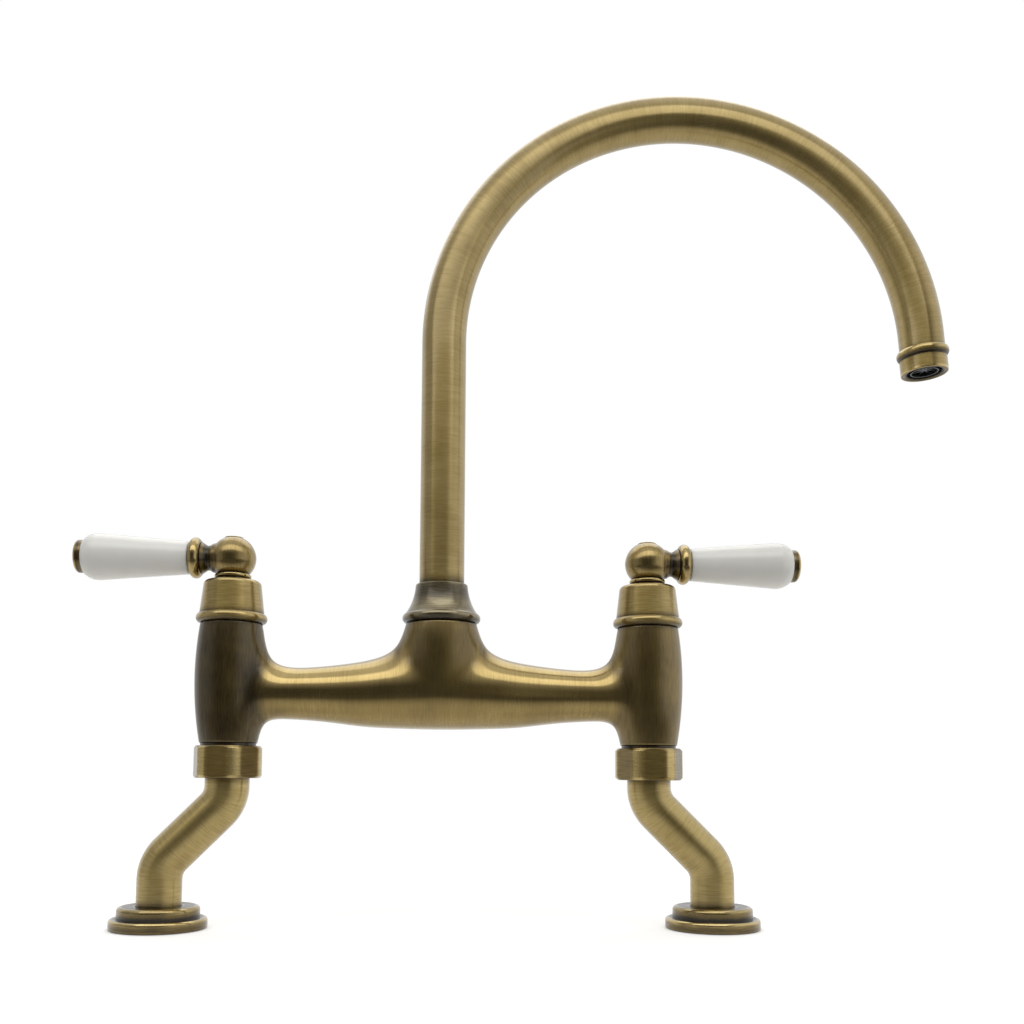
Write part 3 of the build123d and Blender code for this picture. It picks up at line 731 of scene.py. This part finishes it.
# %% Wear, painted light and brush lines of the casting
# Hollows keep their patina, and the rims at the barrels' feet are rubbed. The bridge's upper side is
# lighter gold, partly rubbed and partly a painted highlight where the light from above falls. Both
# barrels are browner than the arms, partly patina and partly painted shade, the left one most, and
# the boss is browner, above all on its flanks.
hollow_depth = 4.0
rim_rub, rim_reach = 0.8, 0.9
barrel_start, barrel_blend = 82, 6
boss_foot, boss_blend = 118, 12
left_patina_and_shade, right_patina_and_shade = 1.2, 0.6
boss_browning, flank_browning = 0.2, 0.9
cast_height = cast_points[..., 2]
hollow = casting(*np.moveaxis(cast_points, 2, 0))[1]
on_barrel = np.clip((np.abs(x) - barrel_start) / barrel_blend, 0, 1)
on_boss = np.clip((cast_height - boss_foot) / boss_blend, 0, 1) * (1 - on_barrel)
# Darker barrels, the left one more: partly patina, partly painted shade.
barrel_patina_and_shade = np.where(x < 0, left_patina_and_shade, right_patina_and_shade)
cast_wear_and_painted_light = np.clip(-hollow / hollow_depth, -1, 0) + rim_rub * bell(cast_height - barrel_foot, rim_reach)
# Upward faces of the arms and boss are made lighter: painted highlight.
cast_wear_and_painted_light += (1 - on_barrel) * np.maximum(cast_normals[..., 2], 0) - on_barrel * barrel_patina_and_shade
cast_wear_and_painted_light += on_boss * (-boss_browning - flank_browning * np.abs(cast_normals[..., 0]))
lengthwise = np.array([1.0, 0.0, 0.0]) - cast_normals[..., :1] * cast_normals
girthwise = np.cross([0.0, 0.0, 1.0], cast_normals)
cast_across = lengthwise + girthwise * np.where(girthwise[..., :1] < 0, -1.0, 1.0)
# Beyond a barrel's axis the belt went round it, so its lines run straight down there too.
beyond = np.maximum(np.abs(x) - valve_half_spacing, 0)
round_barrel = valve_half_spacing + belly_radius * np.arctan2(beyond, np.abs(cast_points[..., 1]))
belt_way = np.where(beyond > 0, np.sign(x) * round_barrel, x)
belt_places = np.stack([cast_points[..., 1], cast_height, belt_way], 2)
print("wear from", round(cast_wear_and_painted_light.min(), 2), "to", round(cast_wear_and_painted_light.max(), 2))

# %% Bridge casting with its spigots and neck
spigot = [(8.0, 79.2, 0.2), (13.15, 79.2, 0.3), (13.15, 87.6, 0.1), (8.0, 87.6, 0.1)]
neck = [(12.0, 146.0, 0.1), (15.3, 146.0, 0.1), (15.3, 150.4, 0.2), (12.0, 150.4, 0.2)]
spigot_painted_shade = 2.0


def spigot_tone(radius, height):
    """Painted shade, deep and even all over, on the spigot in the gap above the nut."""
    # The whole spigot is darkened: painted shade in the gap.
    return -spigot_painted_shade


casting_skin = grid_skin(cast_points, cast_normals, cast_across, belt_places, cast_wear_and_painted_light, False)
spigots = [lathe(spigot, on_valve(sign), tone=spigot_tone) for sign in sides.values()]
make_piece("bridge_casting", [casting_skin, *spigots, lathe(neck, standing)], cast_brass,
           "tap_body", "antique_brass_dark", "bridge_body")

# %% [markdown]
# ## Bonnets, legs and roses
# The bonnet is a tapered cap with a bead at its foot. The leg is a pipe bent twice by 45 degrees, so
# that the feet stand further apart than the valves. The rose is a stepped plate that hides the hole
# in the deck. The two turned pieces are outlines on the lathe, and the leg is a pipe along a line
# whose two corners are rounded to the bender's radius.

# %% Turned bonnets
bonnet_top, spindle_hole = 166.0, 8.1
cavity_radius, cavity_top = 12.4, 160.0
bonnet_bead = bead_arc((14.6, 147.6), bead_radius, -90, 70, 0.12)
bonnet_line = [(cavity_radius, barrel_top, 0.2), *bonnet_bead,
               (13.55, bonnet_top, 2.2), (spindle_hole, bonnet_top, 0.3),
               (spindle_hole, cavity_top, 0.2), (cavity_radius, cavity_top, 0.3)]
bonnet_bead_middle = 147.8


def bonnet_tone(radius, height):
    """Painted shade under the bead."""
    return painted_shade_under_bead(height, bonnet_bead_middle)


for side, sign in sides.items():
    skin = lathe(bonnet_line, on_valve(sign), tone=bonnet_tone)
    make_piece(f"{side}_turned_bonnet", [skin], turned_brass, "tap_body", "antique_brass", f"{side}_bonnet")

# %% Cranked legs
leg_radius, leg_bore, leg_top = 10.5, 7.4, 77.2
knee_height, crank, bend_radius = 60.2, 30.4, 16.4
leg_corners = [(crank, 0.0, 0), (crank, knee_height - crank, bend_radius),
               (0.0, knee_height, bend_radius), (0.0, leg_top, 0)]
leg_path = evened(drawn_line(leg_corners, closed=False), longest_step, closed=False)[0]
for side, sign in sides.items():
    skin = pipe(leg_path, leg_radius, leg_bore, on_valve(sign, np.eye(3)))
    make_piece(f"{side}_cranked_pipe", [skin], bent_brass, "tap_body", "antique_brass", f"{side}_leg")

# %% Stepped roses
rose_line = [(10.8, 0.0, 0.2), (13.5, 0.0, 0.2), (13.5, 2.5, 0.2), (19.5, 2.5, 0.2), (19.5, 0.0, 0.2),
             (22.6, 0.0, 0.4), (22.6, 5.0, 1.4), (19.1, 5.0, 0.25), (19.1, 10.5, 1.9), (10.8, 10.5, 0.3)]
upper_edge, upper_spread, upper_rub_and_highlight = (18.5, 10.0), 0.9, 0.3
lower_edge, lower_spread, lower_rub_and_highlight = (22.2, 4.6), 0.6, 0.9
flat_height, flat_radius, flat_painted_shade = 10.4, 17.2, 0.9


def about_edge(radius, height, edge, spread):
    """One on an edge, fading with the square of the distance from it over a spread in square millimetres."""
    return np.exp(-((radius - edge[0]) ** 2 + (height - edge[1]) ** 2) / spread)


def rose_tone(radius, height):
    """Both rounded edges are lighter, partly rubbed and partly painted highlight; the flat top is darkened
    with painted shade.
    """
    # Lighter rounded edges are partly painted highlight, and the darker flat top is painted shade.
    upper = about_edge(radius, height, upper_edge, upper_spread)
    lower = about_edge(radius, height, lower_edge, lower_spread)
    flat = (height > flat_height) * (radius < flat_radius)
    return upper_rub_and_highlight * upper + lower_rub_and_highlight * lower - flat_painted_shade * flat


for side, sign in sides.items():
    skin = lathe(rose_line, on_valve(sign, across=crank), tone=rose_tone)
    make_piece(f"{side}_stepped_rose", [skin], rose_brass_painted_shade, "tap_body", "antique_brass", f"{side}_rose")

# %% [markdown]
# ## Union nuts
# A length of hexagon bar is bored, and its corners are turned down and bevelled so that they do not
# cut the fitter's hand. On every direction from the axis the wall is the nearest of three things: the
# flat, the turned corner and the bevel. A soft minimum of the three rounds the edges between
# them a little, as a tumbled nut has them.

# %% Hexagon nuts
nut_foot, nut_top = 70.7, 86.0
nut_height = nut_top - nut_foot
half_flats, corner_radius, bevel = 15.25, 16.3, 1.2
edge_softness = 0.22
nut_columns = 288
leg_hole, foot_edge, top_edge = 10.8, 13.0, 14.2
thread_radius, thread_foot = 13.2, 73.7
# Rows lie close together at both ends, where the bevel turns, and far apart between them.
end_rows = np.array([0.0, 0.06, 0.15, 0.3, 0.45, 0.6, 0.75, 0.9, 1.05, 1.2, 1.4, 1.7, 2.2, 3.2])
middle_start, middle_rows = 4.5, 6
wear_rate, edge_wear = 1.4, 0.6
flat_wear, corner_wear = -0.2, 1.3
nut_turns = {"left": -9.0, "right": 0.0}


def soft_minimum(first, second, width):
    """The smaller of two values, with the change from one to the other rounded over a width."""
    blend = np.maximum(width - np.abs(first - second), 0)
    return np.minimum(first, second) - blend**2 / (4 * width)


def hexagon_nut(turn, place):
    """Nut skin: for a direction a and a height z the wall is min(flat / cos a, corner, bevel)."""
    angle = 2 * np.pi * np.arange(nut_columns) / nut_columns
    off_flat = (angle - np.radians(turn)) % (np.pi / 3) - np.pi / 6
    wall = soft_minimum(half_flats / np.cos(off_flat), corner_radius, edge_softness)
    rise = np.concatenate([end_rows, np.linspace(middle_start, nut_height - middle_start, middle_rows),
                           nut_height - end_rows[::-1]])
    from_end = np.minimum(rise, nut_height - rise)
    wall = soft_minimum(wall[None, :], (corner_radius - bevel + from_end)[:, None], edge_softness)
    below = np.array([(leg_hole, nut_foot), (foot_edge, nut_foot)])
    above = np.array([(top_edge, nut_top), (thread_radius, nut_top), (thread_radius, thread_foot),
                      (leg_hole, thread_foot)])
    radius = np.concatenate([np.repeat(below[:, :1], nut_columns, 1), wall,
                             np.repeat(above[:, :1], nut_columns, 1)])
    height = np.concatenate([below[:, 1], nut_foot + rise, above[:, 1]])
    points = np.stack([radius * np.cos(angle), radius * np.sin(angle),
                       np.repeat(height[:, None], nut_columns, 1)], 2)
    around = np.roll(points, -1, 1) - np.roll(points, 1, 1)
    upward = np.roll(points, -1, 0) - np.roll(points, 1, 0)
    normals = unit(np.cross(around, upward))
    past_corner = half_flats / np.cos(off_flat) - corner_radius
    wear_and_painted_light = np.clip(past_corner * wear_rate + edge_wear, flat_wear, corner_wear)
    return placed_skin(place, points, normals, unit(upward), points, wear_and_painted_light[None, :])


for side, sign in sides.items():
    skin = hexagon_nut(nut_turns[side], on_valve(sign, np.eye(3)))
    make_piece(f"{side}_hexagon_nut", [skin], nut_brass, "tap_body", "antique_brass", f"{side}_union_nut")

# %% [markdown]
# ## Levers
# Ball, neck and bead are turned in one piece on the lever's own axis, with a small foot and its
# rounded ring on the valve's axis below. The porcelain grip is slipped on a rod and held by a button at
# its end. A ball could be a sphere object, but as part of the outline it runs into the neck without a
# seam, and the brush lines go round both.

# %% Outlines of the lever
ball_radius = 10.9
grip_start, grip_end, lever_tip = 21.0, 71.4, 75.2
ball = arc((0.0, 0.0), ball_radius, -89, 46.5)
lever_bead = arc((7.3, 18.0), 2.7, -100, 75)
hub_line = [*ball, (7.0, 9.7, 0.4), (5.6, 11.8, 2.0), (7.8, 14.95, 0.12), *lever_bead,
            (7.9, grip_start, 0.2), (0.4, grip_start, 0)]
foot_line = [(4.1, 166.4, 0.1), (7.5, 166.4, 0.2), (7.5, 167.2, 0.1), (8.8, 167.2, 0.95), (8.8, 169.3, 0.95),
             (6.6, 169.3, 0.1), (6.6, 171.5, 0.1), (4.1, 171.5, 0.1)]
grip_line = [(3.0, grip_start, 0.2), (8.0, grip_start, 0.7), *arc((1.98, 64.53), 9.4, -4.5, 46.9),
             (8.3, grip_end, 0.05), (3.0, grip_end, 0.2)]
button_line = [(2.6, grip_end, 0.1), (8.0, grip_end, 0.35), (8.0, lever_tip, 1.5), (0.4, lever_tip, 0)]
cap_line = [(0.4, 185.7, 0), (4.5, 185.7, 0.1), (4.5, 187.55, 0.25), (0.4, 187.95, 0)]
neck_start, neck_end, neck_patina = 8.2, 15.0, 0.6
button_face, button_patina = 1.2, 1.2


def hub_tone(radius, height):
    """Patina stays on the slim neck between ball and bead."""
    return -neck_patina * (height > neck_start) * (height < neck_end)


def button_tone(radius, height):
    """Patina stays on the button's side, up to its rounded face."""
    return -button_patina * (height < lever_tip - button_face)


print("lever reaches", lever_tip, "mm from its valve's axis")

# %% Hubs, grips, buttons and caps
for side, sign in sides.items():
    body = f"{side}_lever"
    on_lever = on_valve(sign, lying, height=lever_axis)
    hub = [lathe(hub_line, on_lever, closed=False, tone=hub_tone), lathe(foot_line, on_valve(sign))]
    make_piece(f"{side}_turned_hub", hub, hub_brass, body, "antique_brass", f"{side}_lever_hub")
    make_piece(f"{side}_porcelain_grip", [lathe(grip_line, on_lever)], porcelain, body, "porcelain",
               f"{side}_lever_grip")
    button = lathe(button_line, on_lever, closed=False, tone=button_tone)
    make_piece(f"{side}_end_button", [button], hub_brass, body, "antique_brass", f"{side}_lever_button")
    make_piece(f"{side}_ball_cap", [lathe(cap_line, on_valve(sign), closed=False)], hub_brass, body,
               "antique_brass", f"{side}_lever_cap")

# %% [markdown]
# ## The nozzle
# The nozzle is a turned sleeve with a bead, screwed on the end of the tube, and it leans with it. It is
# one more outline on the lathe, in a placement whose third axis is the way the water flows.

# %% Nozzle
outward = np.array([np.cos(arch_sweep), 0.0, -np.sin(arch_sweep)])
flow_axis = np.array([flow[0], 0.0, flow[1]])
outlet_axes = np.stack([outward, np.cross(flow_axis, outward), flow_axis], 1)
outlet_place = (outlet_axes, np.array([outlet[0], 0.0, outlet[1]]))
nozzle_bead = bead_arc((10.3, 0.0), bead_radius, -73, 68, 0.08)
nozzle_line = [(10.6, -2.4, 0.1), *nozzle_bead, (11.1, 2.7, 0.1), (11.5, 3.2, 0.3),
               (11.5, 10.4, 0.6), (10.3, 10.4, 0.2), (9.2, 9.8, 0.1), (9.2, 9.6, 0.05),
               (10.03, 9.6, 0.1), (10.03, 2.2, 0.1), (10.55, 2.2, 0.1)]
mouth_start, mouth_radius, mouth_painted_shade = 9.5, 11.2, 2.0
nozzle_bead_end = 2.8


def nozzle_tone(radius, height):
    """Painted shade on the lip of the mouth and on the half of the bead that faces it."""
    # The mouth's lip is darkened: painted shade.
    mouth = -mouth_painted_shade * (height > mouth_start) * (radius < mouth_radius)
    return mouth + painted_shade_under_bead(-height, 0.0) * (height < nozzle_bead_end)


nozzle_skin = lathe(nozzle_line, outlet_place, tone=nozzle_tone)
make_piece("spout_nozzle", [nozzle_skin], turned_brass, "spout", "antique_brass", "nozzle")

# %% [markdown]
# ## The aerator and the pieces inside
# The aerator in the nozzle's mouth is a dark moulding: two rings, with spokes set back between them. Discs,
# seals, rods and screws hide inside the tap. They need no new skins, so they keep their CAD shapes.
# Each gets an even colour, with the faint grain that its making leaves, so that none looks like a flat fill.

# %% Aerator and inner pieces
grain_strength, grain_depth = 0.2, 0.05 * mm


def inner_finish(name, dark, light, grain_size, roughness, metallic=0.0):
    """Even colour with the fine grain that moulding, lapping, plating or turning leaves."""
    finish, tree, output = new_finish(name)
    grain, tint = mottled(tree, grain_size, 2.0, dark, light)
    bump = add(tree, "Bump", {"Height": grain, "Strength": grain_strength, "Distance": grain_depth})
    shader = add(tree, "BsdfPrincipled", {"Base Color": tint, "Metallic": metallic, "Roughness": roughness,
                                          "Normal": bump.outputs["Normal"]})
    tree.links.new(shader.outputs[0], output.inputs["Surface"])
    return finish


inner_finishes = {
    "dark_plastic": inner_finish("moulded_acetal", "#18191a", "#282a2b", 0.6 * mm, 0.3),
    "rubber": inner_finish("moulded_rubber", "#1d1c1b", "#262524", 0.4 * mm, 0.55),
    "nylon": inner_finish("moulded_nylon", "#d9d4c4", "#e6e2d5", 0.8 * mm, 0.4),
    "disc_ceramic": inner_finish("lapped_ceramic", "#e4e2dd", "#efedea", 0.5 * mm, 0.15),
    "steel": inner_finish("zinc_plated_steel", "#8f9297", "#a9acb0", 0.5 * mm, 0.35, metallic=1.0),
    "plain_brass": inner_finish("turned_plain_brass", "#b08d4c", "#c8a864", 0.7 * mm, 0.3, metallic=1.0),
}
slots = {row["node"]: row["material_slot"] for row in frame["record"]["subparts"]}
kept_nodes = {name: node for name, node in frame["nodes"].items() if not node.hide_render}
for name, node in kept_nodes.items():
    for place in node.material_slots:
        place.material = inner_finishes[slots[name]]
print("kept nodes:", sorted(kept_nodes))

# %% [markdown]
# ## Table, light and camera
# The tap stands on a white table in a tent of white cloth that is bright behind it, overhead and on
# the right, and dimmer on the left. One long softbox hangs overhead, close in front of the arch, and a
# wider one shines from behind. Polished metal has no look of its own: it shows the room. So the room
# matters as much as the finish: the softbox is the white line along the arch and the arms, and the dim
# room where the camera stands, with the table that gets darker towards it, is the dark band below that
# line. Lengths are metres here.

# %% White table
table_half_width, table_front, table_back = 0.75, -0.75, 0.6
below_feet = 0.0002
table_corners = [(-table_half_width, table_front, 0), (table_half_width, table_front, 0),
                 (table_half_width, table_back, 0), (-table_half_width, table_back, 0)]
table_mesh = bpy.data.meshes.new("white_table")
table_mesh.from_pydata(table_corners, [], [(0, 1, 2, 3)])
table = bpy.data.objects.new("white_table", table_mesh)
bpy.context.scene.collection.objects.link(table)
table.location.z = -below_feet
roller_size = 40 * mm
dim_at, bright_at, dimmest = -0.31, -0.03, 0.15
white_lift = 0.3


def table_paint():
    """Matt white paint, rolled on; seen directly it is lifted to white, and it still takes the shadow.
    For all but camera rays its colour is painted darker towards the camera, a painted shade that stands in
    for a table lit from behind, so what the metal mirrors of it gets dimmer there."""
    finish, tree, output = new_finish("matt_white_paint")
    _, tint = mottled(tree, roller_size, 2.0, "#efeeeb", "#f4f3f1")
    seen = add(tree, "LightPath").outputs["Is Camera Ray"]
    depth = add(tree, "SeparateXYZ", {0: add(tree, "TexCoord").outputs["Object"]}).outputs["Y"]
    # Painted shade: the table's colour darkens towards the camera for every ray but the camera's.
    lit = add(tree, "MapRange", {0: depth, 1: dim_at, 2: bright_at, 3: dimmest, 4: 1.0},
              interpolation_type="SMOOTHSTEP")
    share = add(tree, "Math", {0: lit.outputs[0], 1: seen}, operation="MAXIMUM")
    shade = add(tree, "VectorMath", {0: tint, "Scale": share.outputs[0]}, operation="SCALE")
    paint = add(tree, "BsdfDiffuse", {"Color": shade.outputs[0]})
    lift = add(tree, "Math", {0: seen, 1: white_lift}, operation="MULTIPLY")
    glow = add(tree, "Emission", {"Color": (1, 1, 1, 1), "Strength": lift.outputs[0]})
    both = add(tree, "AddShader", {0: paint.outputs[0], 1: glow.outputs[0]})
    tree.links.new(both.outputs[0], output.inputs["Surface"])
    return finish


table_mesh.materials.append(table_paint())
print("table", 2 * table_half_width, "m wide")

# %% Softboxes


def softbox(name, place, aim, size, watts):
    """Area lamp at a place, facing a point."""
    lamp = bpy.data.lights.new(name, "AREA")
    lamp.shape = "RECTANGLE"
    lamp.size, lamp.size_y = size
    lamp.energy = watts
    holder = bpy.data.objects.new(name, lamp)
    toward = np.array(aim) - np.array(place)
    holder.location = place
    holder.rotation_euler = Vector(toward).to_track_quat("-Z", "Y").to_euler()
    holder.visible_camera = False
    bpy.context.scene.collection.objects.link(holder)
    print(name, "radiance", round(watts / (np.pi * size[0] * size[1]), 2))


softbox("overhead_softbox", place=(-0.08, -0.27, 0.515), aim=(-0.08, 0.0, 0.31),
        size=(0.86, 0.22), watts=0.83)
softbox("rear_softbox", place=(0.0, 0.316, 0.757), aim=(0.0, 0.0, 0.11),
        size=(0.9, 0.48), watts=1.0)

# %% Room
# Each cloth of the tent: the axis it is seen along, where it starts and is full, and its light there.
cloths = [("Z", 0.2, 1.05, 0.06, 1.0), ("Y", -0.1, 0.5, 0.0, 0.78),
          ("X", 0.22, 0.88, 0.0, 0.95), ("X", -0.45, -0.95, 0.0, 0.45)]


def room():
    """White tent: in each direction the brightest of its cloths, and nearly dark towards the camera. Seen
    directly it is plain white."""
    world = bpy.data.worlds.new("studio_tent")
    world.use_nodes = True
    tree = world.node_tree
    tree.nodes.clear()
    way = add(tree, "SeparateXYZ", {0: add(tree, "TexCoord").outputs["Generated"]}).outputs
    tent = 0.0
    for axis, start, full, dim, bright in cloths:
        cloth = add(tree, "MapRange", {0: way[axis], 1: start, 2: full, 3: dim, 4: bright},
                    interpolation_type="SMOOTHSTEP").outputs[0]
        tent = add(tree, "Math", {0: cloth, 1: tent}, operation="MAXIMUM").outputs[0]
    rays = add(tree, "LightPath").outputs
    direct = add(tree, "Math", {0: rays["Is Camera Ray"], 1: rays["Is Transmission Ray"]},
                 operation="MAXIMUM")
    lit = add(tree, "Background", {"Color": (1, 1, 1, 1), "Strength": tent})
    white = add(tree, "Background", {"Color": (1, 1, 1, 1), "Strength": 1.0})
    both = add(tree, "MixShader", {0: direct.outputs[0], 1: lit.outputs[0], 2: white.outputs[0]})
    tree.links.new(both.outputs[0], add(tree, "OutputWorld").inputs["Surface"])
    bpy.context.scene.world = world


room()
print("cloths in the tent:", len(cloths))

# %% Camera
focal_pixels = 1078.28
picture_pixels = 1024
axis_pixel = (491.70, 670.95)
camera_place = np.array([2.395, -523.609, 73.928]) * mm
yaw, pitch, roll = np.radians([2.446, 5.387, 0.33])
ahead = np.array([np.sin(yaw) * np.cos(pitch), np.cos(yaw) * np.cos(pitch), np.sin(pitch)])
level = np.array([np.cos(yaw), -np.sin(yaw), 0.0])
above = np.cross(level, ahead)
right = np.cos(roll) * level + np.sin(roll) * above
up = -np.sin(roll) * level + np.cos(roll) * above
lens = bpy.data.cameras.new("catalogue_lens")
lens.sensor_width = 36.0
lens.lens = lens.sensor_width * focal_pixels / picture_pixels
lens.shift_x = (picture_pixels / 2 - axis_pixel[0]) / picture_pixels
lens.shift_y = (axis_pixel[1] - picture_pixels / 2) / picture_pixels
lens.clip_start = 0.01
camera = bpy.data.objects.new("catalogue_camera", lens)
stand = np.eye(4)
stand[:3, :3] = np.stack([right, up, -ahead], 1)
stand[:3, 3] = camera_place
camera.matrix_world = Matrix(stand.tolist())
bpy.context.scene.collection.objects.link(camera)
bpy.context.scene.camera = camera
bpy.context.scene.view_settings.view_transform = "Standard"
print("lens", round(lens.lens, 2), "mm, shift", round(lens.shift_x, 4), round(lens.shift_y, 4))
